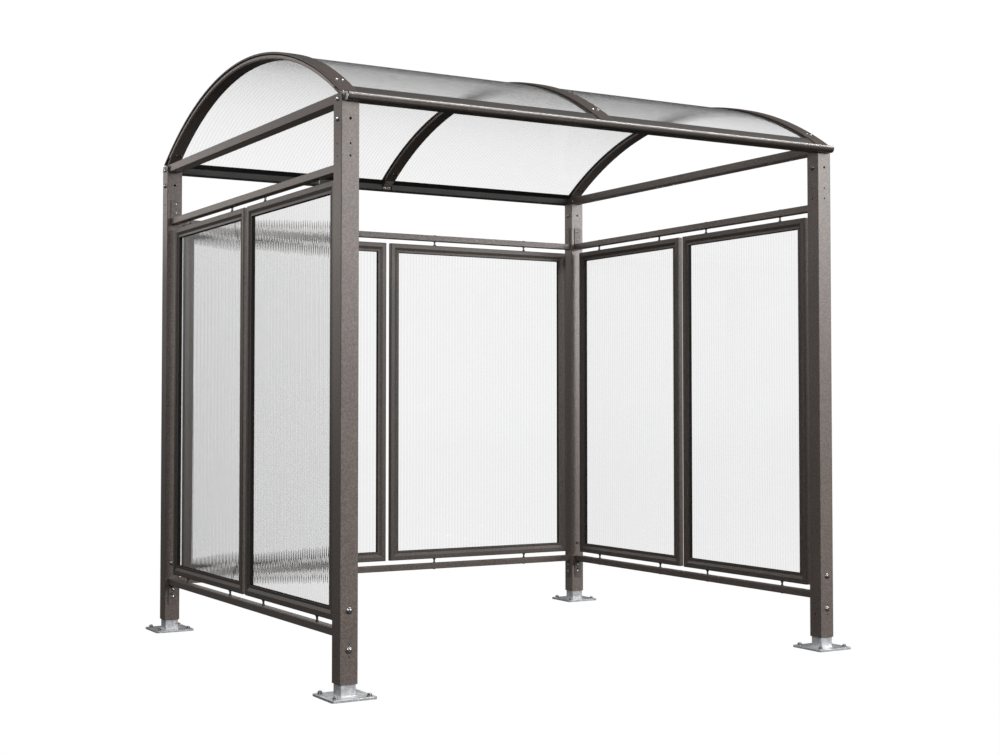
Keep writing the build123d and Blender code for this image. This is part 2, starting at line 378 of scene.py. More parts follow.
def clear_sheet(name, tint, ior, across, along, lines, tilt):
    """Clear ribbed sheet. Each rib leans the face a little along its own run, and is faintly lined.
    Light that comes by way of a matt surface passes straight."""
    mat, nt, bsdf, out = new_mat(name)
    co = obj_coord(nt)
    s = node(nt, "ShaderNodeVectorMath", operation="DOT_PRODUCT")
    s.inputs[1].default_value = across
    nt.links.new(co, s.inputs[0])
    turn = math_node(nt, "MULTIPLY", s.outputs["Value"], 1000.0 / PITCH)
    wave = math_node(nt, "SINE", math_node(nt, "MULTIPLY", turn, TAU))
    rand = node(nt, "ShaderNodeTexWhiteNoise", noise_dimensions="1D")
    nt.links.new(math_node(nt, "FLOOR", turn), rand.inputs["W"])
    g = noise(nt, co, 9.0, 3.0)
    col = ramp(nt, g, [(0.3, [c * 0.994 for c in tint]), (0.7, [c * 1.006 for c in tint])])
    scale = node(nt, "ShaderNodeVectorMath", operation="SCALE")
    nt.links.new(col, scale.inputs[0])
    nt.links.new(remap(nt, wave, -1.0, 1.0, 1.0 - lines, 1.0 + lines), scale.inputs["Scale"])
    nt.links.new(scale.outputs[0], bsdf.inputs["Base Color"])
    fine = noise(nt, co, 140.0, 2.0)
    nt.links.new(remap(nt, fine, 0.3, 0.7, 0.0, 0.003), bsdf.inputs["Roughness"])
    normal = bump(nt, noise(nt, co, 45.0, 2.0), 0.02, 0.0001)
    if tilt > 0:
        lean = math_node(nt, "MULTIPLY", wave, remap(nt, rand.outputs["Value"], 0.0, 1.0, 0.85 * tilt, 1.15 * tilt))
        run = node(nt, "ShaderNodeVectorMath", operation="SCALE")
        run.inputs[0].default_value = along
        nt.links.new(lean, run.inputs["Scale"])
        add = node(nt, "ShaderNodeVectorMath", operation="ADD")
        nt.links.new(normal, add.inputs[0])
        nt.links.new(run.outputs[0], add.inputs[1])
        unit = node(nt, "ShaderNodeVectorMath", operation="NORMALIZE")
        nt.links.new(add.outputs[0], unit.inputs[0])
        normal = unit.outputs[0]
    nt.links.new(normal, bsdf.inputs["Normal"])
    bsdf.inputs["Transmission Weight"].default_value = 1.0
    bsdf.inputs["IOR"].default_value = ior
    clear = node(nt, "ShaderNodeBsdfTransparent")
    clear.inputs[0].default_value = (0.95, 0.95, 0.95, 1.0)
    path = node(nt, "ShaderNodeLightPath")
    last = bsdf.outputs[0]
    for kind in ("Is Diffuse Ray", "Is Shadow Ray"):
        mix = node(nt, "ShaderNodeMixShader")
        nt.links.new(path.outputs[kind], mix.inputs[0])
        nt.links.new(last, mix.inputs[1])
        nt.links.new(clear.outputs[0], mix.inputs[2])
        last = mix.outputs[0]
    nt.links.new(last, out.inputs[0])
    return mat


COAT = powder_coat("taupe_coat", (0.152, 0.125, 0.112), (0.31, 0.44))
COAT_FRAME = powder_coat("taupe_coat_frames", (0.110, 0.091, 0.081), (0.36, 0.48))
# Darkened copy of the taupe coat: painted shade on the gutters and the middle arch.
COAT_SHADE = powder_coat("taupe_coat_gutter", (0.068, 0.057, 0.050), (0.26, 0.34), 0.010)
# Near-black copy of the taupe coat: painted shade on the gutter's cover flange and seat at the sheet edge.
COAT_LIP_SHADE = powder_coat("taupe_coat_lip", (0.013, 0.011, 0.0096), (0.30, 0.40), 0.03)
COAT_ROOF = powder_coat("taupe_coat_roof", (0.114, 0.094, 0.085), (0.34, 0.46))
GALV = galvanised("galvanised_steel")
ZINC = metal("zinc_plated", (0.44, 0.44, 0.44), (0.22, 0.38))
BOLT = metal("bolt_zinc", (0.28, 0.28, 0.28), (0.22, 0.38))
DULL = metal("dull_zinc", (0.20, 0.19, 0.185), (0.35, 0.52))
STAINLESS = metal("stainless", (0.62, 0.62, 0.62), (0.16, 0.34))
BARE = metal("bare_aluminium", (0.62, 0.62, 0.62), (0.30, 0.48), (700.0, 60.0, 60.0))
RUBBER = rubber("black_gasket")
# Dark filler colour: painted shade on the gutters' inner walls and seats.
FILLER_SHADE = rubber("eaves_filler", 0.055, 0.070)
UP = (0, 0, 1)
PLAIN = clear_sheet("clear_sheet_plain", (0.934, 0.936, 0.936), 1.43, (1, 1, 0), UP, 0.01, 0.0)
SHEET = [clear_sheet("clear_sheet_ribbed", (0.906, 0.908, 0.908), 1.43, (1, 1, 0), UP, 0.075, 0.028), PLAIN]
SHEET_BACK = [clear_sheet("clear_sheet_ribbed_back", (0.906, 0.908, 0.908), 1.43, (1, 1, 0), UP, 0.075, 0.056), PLAIN]
ROOF = [clear_sheet("clear_roof_ribbed", (0.975, 0.977, 0.977), 1.39, (1, 0, 0), (0, 1, 0), 0.12, 0.006),
        clear_sheet("clear_roof_plain", (0.970, 0.972, 0.972), 1.39, (1, 0, 0), (0, 1, 0), 0.01, 0.0)]


# ---------------------------------------------------------------- clear sheets
def ribbed_section(width, thick, lens, seg):
    """Closed outline (across, through): both faces bulge between the ribs, with a fine groove at each rib."""
    n = max(2, round(width / PITCH))
    k = np.arange(n * seg + 1)
    s = -width / 2 + width * k / (n * seg)
    x = (k % seg) / seg - 0.5
    half = thick / 2 - lens * (2.0 * x) ** 2
    return list(zip(s, half)) + list(zip(s[::-1], -half[::-1]))


def slab(B, rings):
    """Sheet through rings of one outline: material 0 on its first face, 1 on the rest."""
    n = len(rings[0])
    verts = [p for r in rings for p in r]
    near, far = [], []
    for i in range(len(rings) - 1):
        a, b = i * n, (i + 1) * n
        for j in range(n):
            k = (j + 1) % n
            (near if j < n // 2 - 1 else far).append((a + j, a + k, b + k, b + j))
    for base in (0, (len(rings) - 1) * n):
        for j in range(n // 2 - 1):
            far.append((base + j, base + j + 1, base + n - 2 - j, base + n - 1 - j))
    first = len(B.f)
    B.add(verts, near + far)
    B.m[first + len(near):] = [1] * len(far)


PANELS = {}
for side, sx in (("left", -1.0), ("right", 1.0)):
    for part, sy in (("front", -1.0), ("back", 1.0)):
        PANELS[f"{side}_{part}"] = ("x", sx * 1262.0, sy * 514.5, 991.0)
for part, sx in (("left", -1.0), ("right", 1.0)):
    PANELS[f"back_{part}"] = ("y", 1095.0, sx * 605.5, 1183.0)


def panel_axes(kind, plane, centre):
    """Point of a wall panel from (across, up, through)."""
    if kind == "x":
        return lambda s, z, t: Vector((plane + t, centre + s, z))
    return lambda s, z, t: Vector((centre + s, plane + t, z))


for key, (kind, plane, centre, width) in PANELS.items():
    at = panel_axes(kind, plane, centre)
    outline = ribbed_section(width - 72.0, 5.8, 0.012, 6)
    B = Build()
    slab(B, [[at(a, z, b) for a, b in outline] for z in (FR_Z0 + 36.0, FR_Z1 - 36.0)])
    B.piece(f"sheet_{key}", SHEET_BACK if key in ("left_back", "right_back") else SHEET, "clear_sheet", [f"panel_sheet_{key}"], sharp=30.0, weld=False)

PHI_SHEET = math.asin(1121.5 / 2035.0)
for side, x0, x1 in (("left", -1256.0, -9.0), ("right", 9.0, 1256.0)):
    xc = (x0 + x1) / 2
    outline = ribbed_section(x1 - x0, 9.7, 0.012, 4)
    B = Build()
    rings = 49
    slab(B, [[on_arc(xc + a, R_SHEET + b, -PHI_SHEET + 2 * PHI_SHEET * i / (rings - 1)) for a, b in outline] for i in range(rings)])
    B.piece(f"roof_{side}", ROOF, "clear_sheet", [f"roof_sheet_{side}"], sharp=30.0, weld=False)


# ---------------------------------------------------------------- panel frames and gaskets
FRAME_PROFILE = rounded(
    [(0, -16), (24.5, -16), (39, -9.3), (48.5, -11.4), (51.2, -11.2), (51.2, -3.15), (35.5, -3.15),
     (35.5, 3.15), (51.2, 3.15), (51.2, 11.2), (48.5, 11.4), (39, 9.3), (24.5, 16), (0, 16)],
    [5.0, 2.2, 1.6, 1.2, 0.8, 0.3, 0, 0, 0.3, 0.8, 1.2, 1.6, 2.2, 5.0], 5)


def mitred(B, at, w, z0, z1, profile, gap, mat=0):
    """Four mitred members round a rectangle; profile (inward, through)."""
    h = w / 2
    corners = [((-h, z0), (1, 1)), ((h, z0), (-1, 1)), ((h, z1), (-1, -1)), ((-h, z1), (1, -1))]
    for i in range(4):
        (c0, d0), (c1, d1) = corners[i], corners[(i + 1) % 4]
        run = Vector((c1[0] - c0[0], c1[1] - c0[1])).normalized()
        rings = []
        for c, d, s in ((c0, d0, 1), (c1, d1, -1)):
            rings.append([at(c[0] + d[0] * u + run.x * gap * s, c[1] + d[1] * u + run.y * gap * s, t) for u, t in profile])
        B.loft(rings, mat)


GASKET = rounded([(51.25, 3.2), (53.0, 3.2), (53.0, 9.4), (52.5, 10.6), (51.25, 10.8)], [0, 0.3, 0.6, 0.5, 0], 2)
for key, (kind, plane, centre, width) in PANELS.items():
    at = panel_axes(kind, plane, centre)
    B = Build()
    mitred(B, at, width, FR_Z0, FR_Z1, FRAME_PROFILE, 0.18)
    B.piece(f"frame_{key}", [COAT_FRAME], "coated_aluminium", [f"panel_frame_{key}"], sharp=32.0, weighted=True)
    B = Build()
    for s in (-1, 1):
        prof = [(u, s * t) for u, t in GASKET]
        mitred(B, at, width, FR_Z0, FR_Z1, prof, 0.0)
    B.piece(f"gasket_{key}", [RUBBER], "fixings", sharp=40.0, weld=False)


# ---------------------------------------------------------------- posts
def ring_of_holes(z, r, seg=20):
    return [(r * math.cos(TAU * k / seg), z + r * math.sin(TAU * k / seg)) for k in range(seg)]


def post(B, cx, cy, sx, sy):
    h, hi, r = POST / 2, POST / 2 - WALL, 4.0
    z0, z1 = POST_Z0, POST_Z1
    faces = [((1, 0), (0, 1)), ((0, 1), (-1, 0)), ((-1, 0), (0, -1)), ((0, -1), (1, 0))]
    for (nx, ny), (tx, ty) in faces:
        holes = []
        if nx:
            holes = [(2233.0, 4.2), (2182.5, 4.2), (216.0, 4.2), (166.0, 4.2)]
        else:
            holes = [(2334.0, 6.2), (2232.5, 4.2), (2182.5, 4.2), (216.0, 4.2), (166.0, 4.2)]
        loops = [[(-(h - r), z0), (h - r, z0), (h - r, z1), (-(h - r), z1)]] + [ring_of_holes(z, q) for z, q in holes]
        inner = [[(-hi, z0), (hi, z0), (hi, z1), (-hi, z1)]] + loops[1:]
        for plate, d in ((loops, h), (inner, hi)):
            flat = [q for l in plate for q in l]
            tris = tessellate_polygon([[Vector((a, b, 0)) for a, b in l] for l in plate])
            B.add([(cx + nx * d + tx * a, cy + ny * d + ty * a, b) for a, b in flat], tris)
        for l in loops[1:]:
            n = len(l)
            ring = [[(cx + nx * d + tx * a, cy + ny * d + ty * a, b) for a, b in l] for d in (h, hi)]
            B.loft(ring, caps=False)
        # rounded corner after this face
        c = (cx + nx * (h - r) + tx * (h - r), cy + ny * (h - r) + ty * (h - r))
        arc = []
        for k in range(6):
            q = 0.25 * TAU * k / 5
            arc.append((c[0] + r * (math.cos(q) * nx + math.sin(q) * tx), c[1] + r * (math.cos(q) * ny + math.sin(q) * ty)))
        B.loft([[(x, y, z0) for x, y in arc], [(x, y, z1) for x, y in arc]], caps=False, closed=False)
    outer = []
    for (nx, ny), (tx, ty) in faces:
        c = (cx + nx * (h - r) + tx * (h - r), cy + ny * (h - r) + ty * (h - r))
        for k in range(6):
            q = 0.25 * TAU * k / 5
            outer.append((c[0] + r * (math.cos(q) * nx + math.sin(q) * tx), c[1] + r * (math.cos(q) * ny + math.sin(q) * ty)))
    inner = [(cx + a * hi, cy + b * hi) for a, b in ((1, 1), (-1, 1), (-1, -1), (1, -1))]
    tris = tessellate_polygon([[Vector((x, y, 0)) for x, y in outer], [Vector((x, y, 0)) for x, y in inner]])
    for z in (z0, z1):
        B.add([(x, y, z) for x, y in outer + inner], tris)
    # ear of the outer wall, up to the beam
    prof = rounded([(-36, z1), (36, z1), (36, EAR_Z1), (-36, EAR_Z1)], [0, 0, 5, 5], 4)
    B.loft([[(cx + sx * d, cy + a, b) for a, b in prof] for d in (hi, hi + 0.8, h - 0.8, h)], caps=True)


for name, sx, sy in (("front_left", -1, -1), ("front_right", 1, -1), ("back_left", -1, 1), ("back_right", 1, 1)):
    B = Build()
    post(B, sx * HX, sy * HY, sx, sy)
    B.piece(f"upright_{name}", [COAT], "coated_steel", [f"post_{name}"], sharp=35.0, weighted=True)


# ---------------------------------------------------------------- cap strips and arch gaskets
def strip(B, cx, profile, phi, rings=65, mat=0):
    """Sweeps a closed profile (x offset, radius) along the roof arc."""
    B.loft([[on_arc(cx + a, r, -phi + 2 * phi * i / (rings - 1)) for a, r in profile] for i in range(rings)], mat)


PHI_CAP = math.asin(1125.5 / R_CAP1)
PHI_SEAL = math.asin(1056.0 / R_CAP0)
for name, cx, side in (("left", -HX, -1), ("middle", 0.0, 0), ("right", HX, 1)):
    if side == 0:
        prof = [(-38, 2037.5), (38, 2037.5), (38, 2043.6), (0, 2044.5), (-38, 2043.6)]
        rad = [0.6, 0.6, 2.2, 40, 2.2]
    else:
        prof = [(-38, 2037.5), (35, 2037.5), (35, 2034.6), (38, 2034.6), (38, 2043.6), (0, 2044.5), (-38, 2043.6)]
        prof = [(side * a, r) for a, r in prof]
        rad = [0.6, 0.4, 0.5, 0.8, 2.2, 40, 2.2]
    B = Build()
    strip(B, cx, rounded(prof, rad, 3), PHI_CAP)
    B.piece(f"cap_strip_{name}", [COAT_ROOF], "coated_aluminium", [f"arch_cap_{name}"], sharp=32.0, weighted=True)
    B = Build()
    for s in (-1, 1):
        if s == side:      # open side of an end arch: closing seal between bar and cap
            strip(B, cx, rounded([(s * 22, 2025.2), (s * 28.5, 2025.2), (s * 29.2, 2031), (s * 28.5, 2037.3), (s * 22, 2037.3)], [0, 0.6, 4, 0.6, 0], 2), PHI_SEAL)
        else:              # sheet side: seal above and below the sheet
            strip(B, cx, rounded([(s * 33.0, 2034.95), (s * 38.6, 2034.95), (s * 39.0, 2036.6), (s * 37.0, 2037.45), (s * 33.0, 2037.45)], [0, 0.4, 0.6, 0.4, 0], 2), PHI_SEAL)
            strip(B, cx, rounded([(s * 29.0, 2017.0), (s * 32.4, 2017.0), (s * 33.0, 2021), (s * 32.4, 2025.05), (s * 29.0, 2025.05)], [0, 1.2, 0.8, 0.3, 0], 2), PHI_SEAL, mat=1)
    if side:               # outer lip of the bar
        s = side
        strip(B, cx, rounded([(s * 30.02, 2017.5), (s * 34.5, 2017.5), (s * 34.5, 2029.0), (s * 24, 2029.0), (s * 24, 2025.05), (s * 30.02, 2025.05)], [0, 1.2, 1.0, 0, 0, 0], 2), PHI_SEAL, mat=1)
    B.piece(f"arch_seal_{name}", [RUBBER, COAT_ROOF], "fixings", sharp=40.0, weld=False)


# ---------------------------------------------------------------- fixings
def dome_bolt(B, at, axis, r=11.5, h=7.2, washer=True, mat=0):
    """Button head with a hexagon socket, on a thin washer."""
    o, n = Vector(at), Vector(axis).normalized()
    base = 0.0
    if washer:
        B.lathe([(0, 0), (r + 1.2, 0), (r + 1.7, 0.4), (r + 1.6, 1.3), (r + 1.0, 1.6), (0, 1.6)], o, n, 28, mat)
        base = 1.6
    e1, e2, _ = basis(axis)
    seg = 24
    rings = []
    for f, hh in ((0.99, 0.0), (1.0, 0.12), (0.97, 0.36), (0.88, 0.60), (0.72, 0.80), (0.52, 0.93), (0.36, 0.985), (0.30, 0.985)):
        rings.append([o + n * (base + h * hh) + e1 * (r * f * math.cos(TAU * k / seg)) + e2 * (r * f * math.sin(TAU * k / seg)) for k in range(seg)])
    for depth in (0.97, 0.55):
        ring = []
        for k in range(seg):
            q = TAU * k / seg
            loc = (q % (TAU / 6)) - TAU / 12
            rr = 0.25 * r / math.cos(loc)
            ring.append(o + n * (base + h * depth) + e1 * (rr * math.cos(q)) + e2 * (rr * math.sin(q)))
        rings.append(ring)
    B.loft(rings, mat)


def hex_nut(B, at, axis, flats, h, mat=0, turn=0.0):
    """Chamfered hexagon nut, closed round the bolt that fills it."""
    o, n = Vector(at), Vector(axis).normalized()
    e1, e2, _ = basis(axis)
    R = flats / math.sqrt(3.0)

    def hexa(rad, z, seg=24, circle=False):
        out = []
        for k in range(seg):
            q = TAU * k / seg
            loc = (q % (TAU / 6)) - TAU / 12
            rr = flats / 2 / math.cos(loc)
            rr = min(rr, rad) if circle else rr
            out.append(o + n * z + e1 * (rr * math.cos(q + turn)) + e2 * (rr * math.sin(q + turn)))
        return out

    B.loft([hexa(flats * 0.505, 0.0, circle=True), hexa(R, 0.12 * h), hexa(R, 0.86 * h), hexa(flats * 0.505, h, circle=True)], mat)


def washer(B, at, axis, r, h, mat=0):
    B.lathe([(0, 0), (r - 0.3, 0), (r, 0.3), (r, h - 0.4), (r - 0.5, h), (0, h)], at, axis, 28, mat)


def thread(B, at, axis, r, length, pitch, mat=0):
    prof = [(0, 0), (r * 0.9, 0)]
    n = int(length / pitch)
    for k in range(n):
        z = k * pitch
        prof += [(r * 0.9, z + 0.1 * pitch), (r, z + 0.5 * pitch), (r * 0.9, z + 0.9 * pitch)]
    prof += [(r * 0.82, n * pitch + 0.8), (0, n * pitch + 1.0)]
    B.lathe(prof, at, axis, 18, mat)


# post bolts
B = Build()
for sx in (-1, 1):
    for sy in (-1, 1):
        cx, cy = sx * HX, sy * HY
        dome_bolt(B, (cx + sx * 40.0, cy, 2334.0), (sx, 0, 0))
        dome_bolt(B, (cx - sx * 40.0, cy, 2334.0), (-sx, 0, 0))
        dome_bolt(B, (cx + sx * 40.0, cy, 2416.0), (sx, 0, 0), 10.0, 6.4)
        for z in (351.0, 194.0):
            dome_bolt(B, (cx, cy + sy * 40.0, z), (0, sy, 0))
            washer(B, (cx, cy - sy * 40.0, z), (0, -sy, 0), 11.5, 1.8)
            hex_nut(B, (cx, cy - sy * 41.8, z), (0, -sy, 0), 16.0, 7.5)
            thread(B, (cx, cy - sy * 49.3, z), (0, -sy, 0), 4.9, 5.0, 1.5)
        # screw through the beam's inner wall
        dome_bolt(B, (cx - sx * 30.0, cy - sy * 34.0, 2418.0), (-sx, 0, 0), 7.0, 4.6)
B.piece("post_bolts", [BOLT], "fixings", sharp=38.0, weld=False)

# rail tab screws
B = Build()
TAB = 5.0
for sx in (-1, 1):
    for sy in (-1, 1):
        for z in (2233.0, 2187.0, 212.0, 176.0):
            dome_bolt(B, (sx * 1262.0, sy * (HY - 40.0 - TAB), z), (0, -sy, 0), 5.0, 3.2)
    for z in (2233.0, 2187.0, 212.0, 176.0):
        dome_bolt(B, (sx * (HX - 40.0 - TAB), 1095.0, z), (-sx, 0, 0), 5.0, 3.2)
B.piece("rail_screws", [ZINC], "fixings", sharp=38.0, weld=False)

# studs between the rails and the panel frames, with their heads beyond the rails
def stud(B, x, y, z_frame, z_rail, z_far):
    up = 1.0 if z_rail > z_frame else -1.0
    L = abs(z_rail - z_frame)
    B.lathe([(0, 0), (9.0, 0), (9.2, 0.8), (8.6, 2.0), (5.6, 7.6), (4.9, 9.0), (4.8, L - 7.2), (6.4, L - 6.6), (6.6, L - 5.8), (6.6, L - 0.6), (6.2, L), (0, L)],
            (x, y, z_frame), (0, 0, up), 20)
    far = abs(z_far - z_frame)
    washer(B, (x, y, z_frame + up * far), (0, 0, up), 8.0, 1.2)
    dome_bolt(B, (x, y, z_frame + up * (far + 1.2)), (0, 0, up), 6.5, 3.0, washer=False)


for key, pts in (("left", [(-1262.0, y) for y in (-814, -212, 212, 814)]), ("right", [(1262.0, y) for y in (-814, -212, 212, 814)]), ("back", [(x, 1095.0) for x in (-905, -302, 302, 905)])):
    B = Build()
    for x, y in pts:
        stud(B, x, y, FR_Z1, RAIL_UP[0], RAIL_UP[1])
        stud(B, x, y, FR_Z0, RAIL_LOW[1], RAIL_LOW[0])
    B.piece(f"stud_set_{key}", [DULL], "fixings", [f"studs_{key}"], sharp=38.0, weld=False)

# ground anchors and socket welds
B = Build()
for sx in (-1, 1):
    for sy in (-1, 1):
        for ax in (-75.0, 75.0):
            for ay in (-75.0, 75.0):
                p = Vector((sx * HX + ax, sy * HY + ay, 10.0))
                washer(B, p, (0, 0, 1), 12.0, 2.2)
                hex_nut(B, p + Vector((0, 0, 2.2)), (0, 0, 1), 18.0, 8.6, turn=0.3 + 0.9 * (ax > 0) + 0.5 * (ay > 0) + 0.2 * sx)
                thread(B, p + Vector((0, 0, 10.8)), (0, 0, 1), 5.9, 2.0, 1.75)
B.piece("ground_anchors", [ZINC], "fixings", sharp=38.0, weld=False)

B = Build()
for sx in (-1, 1):
    for sy in (-1, 1):
        path = rounded([(-35, -35), (35, -35), (35, 35), (-35, 35)], [5, 5, 5, 5], 4)
        pts = []
        for i in range(len(path)):
            a, b = Vector(path[i]), Vector(path[(i + 1) % len(path)])
            k = max(1, int((b - a).length / 2.6))
            pts += [a + (b - a) * (j / k) for j in range(k)]
        n = len(pts)
        rings = []
        for i, p in enumerate(pts):
            t = (pts[(i + 1) % n] - pts[i - 1]).normalized()
            out = Vector((t.y, -t.x))
            s = 1.0 + 0.13 * math.sin(TAU * i / 3.0) + 0.06 * math.sin(i * 0.37 + sx + 2 * sy)
            ring = []
            for u, v in ((-0.6, -0.2), (3.0 * s, -0.2), (2.7 * s, 0.9 * s), (1.7 * s, 2.0 * s), (0.6, 2.9 * s), (-0.6, 3.2 * s)):
                q = p + out * u
                ring.append((sx * HX + q.x, sy * HY + q.y, 10.0 + v))
            rings.append(ring)
        B.loft(rings, loop=True)
B.piece("socket_welds", [GALV], "galvanised_steel", sharp=60.0, weld=False)

# cap screws, and their nuts under the arch ends
B, N = Build(), Build()
for cx in (-HX, 0.0, HX):
    for s in (-1, 1):
        phi = s * math.asin(1022.0 / 2040.0)
        n = Vector((0, math.sin(phi), math.cos(phi)))
        for dx in (-10.0, 17.0):
            dome_bolt(B, on_arc(cx + dx, R_CAP1 - 0.4, phi), n, 5.6, 3.6)
            washer(N, on_arc(cx + dx, R_BAR0, phi), -n, 7.5, 1.2)
            hex_nut(N, on_arc(cx + dx, R_BAR0 - 1.2, phi), -n, 10.0, 5.0)
            thread(N, on_arc(cx + dx, R_BAR0 - 6.2, phi), -n, 2.9, 2.5, 1.0)
B.piece("cap_screws", [STAINLESS], "fixings", sharp=38.0, weld=False)
N.piece("cap_nuts", [DULL], "fixings", sharp=38.0, weld=False)

# ---------------------------------------------------------------- eaves gutters
def gutter_loops(cover):
    """Closed outlines (y from the post centre line outwards, z) of one gutter: trough, web and lip."""
    t = GUT_T
    top = ARC_Z + math.sqrt((R_BAR1 - 0.1) ** 2 - (HY + 14.0 + t) ** 2)
    arc_out = [(67 + 17 * math.cos(q), 2421 + 17 * math.sin(q)) for q in [math.radians(-90 + 180 * k / 28) for k in range(29)]]
    arc_in = [(67 + (17 - t) * math.cos(q), 2421 + (17 - t) * math.sin(q)) for q in [math.radians(90 - 180 * k / 16) for k in range(17)]]
    trough = [(14, 2404)] + arc_out + [(59, 2438), (59, 2438 - t)] + arc_in + [(14 + t, 2404 + t), (14 + t, top), (14, top)]
    web = [(59, 2404 + t), (61.5, 2404 + t), (61.5, 2438 - t), (59, 2438 - t)]

    def at(r, a):
        return (a, ARC_Z + math.sqrt(r * r - (HY + a) ** 2))

    def span(r, a0, a1, n=8):
        return [at(r, a0 + (a1 - a0) * k / n) for k in range(n + 1)]

    lip = (span(R_CAP0, -cover, LIP_OUT - 1.2) + [at(R_CAP0 - 0.9, LIP_OUT), at(R_BAR1 - 2.2, LIP_OUT)]
           + span(R_BAR1 - 3.0, LIP_OUT - 0.8, 14.0 + t, 3) + span(R_BAR1, 14.0 + t, LIP_OUT - 2.5, 3)
           + span(2034.95, LIP_OUT - 2.5, -cover))
    return [trough, web, lip]


for name, sy, cover in (("front", -1, 37.0), ("back", 1, 6.0)):
    B = Build()
    # Trough and web take the darkened coat and the lip the near-black coat, both painted shade.
    for loop, mat in zip(gutter_loops(cover), (0, 0, 2)):
        B.loft([[(x, sy * (HY + a), z) for a, z in loop] for x in (-1290.0, 1290.0)], mat)
    # The seat under the sheet takes the dark filler colour: painted shade.
    seat = [(a, ARC_Z + math.sqrt(r * r - (HY + a) ** 2)) for r, a in ((R_BAR1 - 3.0, -SEAT_IN), (R_BAR1 - 3.0, 0.0), (R_BAR1 - 3.0, 16.0), (R_BAR1, 16.0), (R_BAR1, 0.0), (R_BAR1, -SEAT_IN))]
    for x0, x1 in ((-1234.0, -31.0), (31.0, 1234.0)):
        B.loft([[(x, sy * (HY + a), z) for a, z in seat] for x in (x0, x1)], 1)
    B.piece(f"eaves_gutter_{name}", [COAT_SHADE, FILLER_SHADE, COAT_LIP_SHADE], "coated_aluminium", [f"gutter_{name}"], sharp=30.0, weld=False, weighted=True)


# gutter end plates with a slot, a small port, a notch and two bare arms; bare at the front, coated at the back
GUT = [(14, 2404), (67, 2404), (84, 2421), (67, 2438), (61.5, 2438), (27, 2444.5), (27, 2449), (14, 2449)]
for name, sy in (("front", -1), ("back", 1)):
    B = Build()
    for sx in (-1, 1):
        outer = rounded(GUT, [1, 1, 16.5, 1, 1, 1, 1, 1], 8)
        slot_loop = rounded([(33, 2416), (36, 2416), (36, 2438), (33, 2438)], [1.2] * 4, 3)
        port = [(60 + 3.0 * math.cos(TAU * k / 14), 2413 + 3.0 * math.sin(TAU * k / 14)) for k in range(14)]
        notch = rounded([(46, 2436), (60, 2433), (56, 2426), (46, 2428)], [1, 1, 1, 1], 3)
        loops = [outer, slot_loop, port, notch]
        flat = [q for l in loops for q in l]
        tris = tessellate_polygon([[Vector((a, b, 0)) for a, b in l] for l in loops])
        for x in (1290.05, 1293.0):
            B.add([(sx * x, sy * (HY + a), b) for a, b in flat], tris, int(sy > 0))
        for l in loops:
            B.loft([[(sx * x, sy * (HY + a), b) for a, b in l] for x in (1290.05, 1293.0)], int(sy > 0), caps=False)
        for r0, r1 in ((2025.6, 2029.2), (2033.4, 2037.2)):
            arm = [(a, ARC_Z + math.sqrt(r * r - (HY + a) ** 2)) for r, a in ((r0, -10.0), (r0, 8.0), (r0, 26.0), (r1, 26.0), (r1, 8.0), (r1, -10.0))]
            B.loft([[(sx * x, sy * (HY + a), b) for a, b in arm] for x in (1290.05, 1293.0)])
    B.piece(f"gutter_ends_{name}", [BARE, COAT], "coated_aluminium", sharp=35.0)

# angle brackets that hold the middle arch to the gutters
B = Build()
for s in (-1, 1):
    y1 = HY + 14.0
    phi = math.asin((y1 - 4.0) / R_BAR0)
    top = on_arc(0.0, R_BAR0 - 0.05, phi)
    t = Vector((0, -math.cos(phi), math.sin(phi)))
    n = Vector((0, -math.sin(phi), -math.cos(phi)))
    p0 = Vector((0, y1 - 0.05, 2410.0))
    p1 = Vector((0, y1 - 0.05, top.z - 1.0))
    p2 = top + t * 46.0
    prof = [p0, p1, p2, p2 + n * 3.0, p1 + Vector((0, -3.2, -3.4)), p0 + Vector((0, -3.0, 0))]
    prof = rounded([(p.y, p.z) for p in prof], [0.6, 1.0, 0.6, 0.6, 5.0, 0.6], 3)
    B.loft([[(x, s * y, z) for y, z in prof] for x in (-24.0, 24.0)])
    for dx in (-13.0, 13.0):
        dome_bolt(B, (dx, s * (y1 - 3.05), 2420.0), (0, -s, 0), 4.6, 3.0, mat=1)
B.piece("arch_brackets", [COAT, STAINLESS], "coated_aluminium", sharp=38.0, weld=False)


# dark filler strips under the roof sheets, on the gutters' inner walls; their near-black colour is painted shade for
# those shadowed walls
for name, sy in (("front", -1), ("back", 1)):
    B = Build()
    for x0, x1 in ((-1233.5, -31.5), (31.5, 1233.5)):
        prof = rounded([(8.0, 2406), (13.9, 2406), (13.9, 2448), (8.0, 2448.0)], [1.5, 0, 0, 1.5], 3)
        B.loft([[(x, sy * (HY + a), b) for a, b in prof] for x in (x0, x1)])
    B.piece(f"eaves_filler_{name}", [FILLER_SHADE], "fixings", sharp=38.0, weld=False)


# ---------------------------------------------------------------- carried-over CAD nodes
def finish_node(name, mat, width=0.0, seg=2):
    ob = NODES[name]
    ob.data.materials.clear()
    ob.data.materials.append(mat)
    if width > 0:
        w = ob.modifiers.new("weld", "WELD")
        w.merge_threshold = 1e-5
        b = ob.modifiers.new("edge", "BEVEL")
        b.width = width * 0.001
        b.segments = seg
        b.limit_method = "ANGLE"
        b.angle_limit = math.radians(38)
        b.use_clamp_overlap = True
        n = ob.modifiers.new("weighted", "WEIGHTED_NORMAL")
        n.mode = "FACE_AREA"
        n.weight = 80
        n.keep_sharp = True


for name in NODES:
    if name.startswith("base_plate"):
        finish_node(name, GALV, 0.9)
    elif name.startswith("arch_") and "cap" not in name:
        # The middle arch takes the darkened coat: painted shade on its underside.
        finish_node(name, COAT_SHADE if name == "arch_middle" else COAT_ROOF, 1.0)
    elif name.startswith(("side_beam", "rail_")):
        finish_node(name, COAT, 0.8)


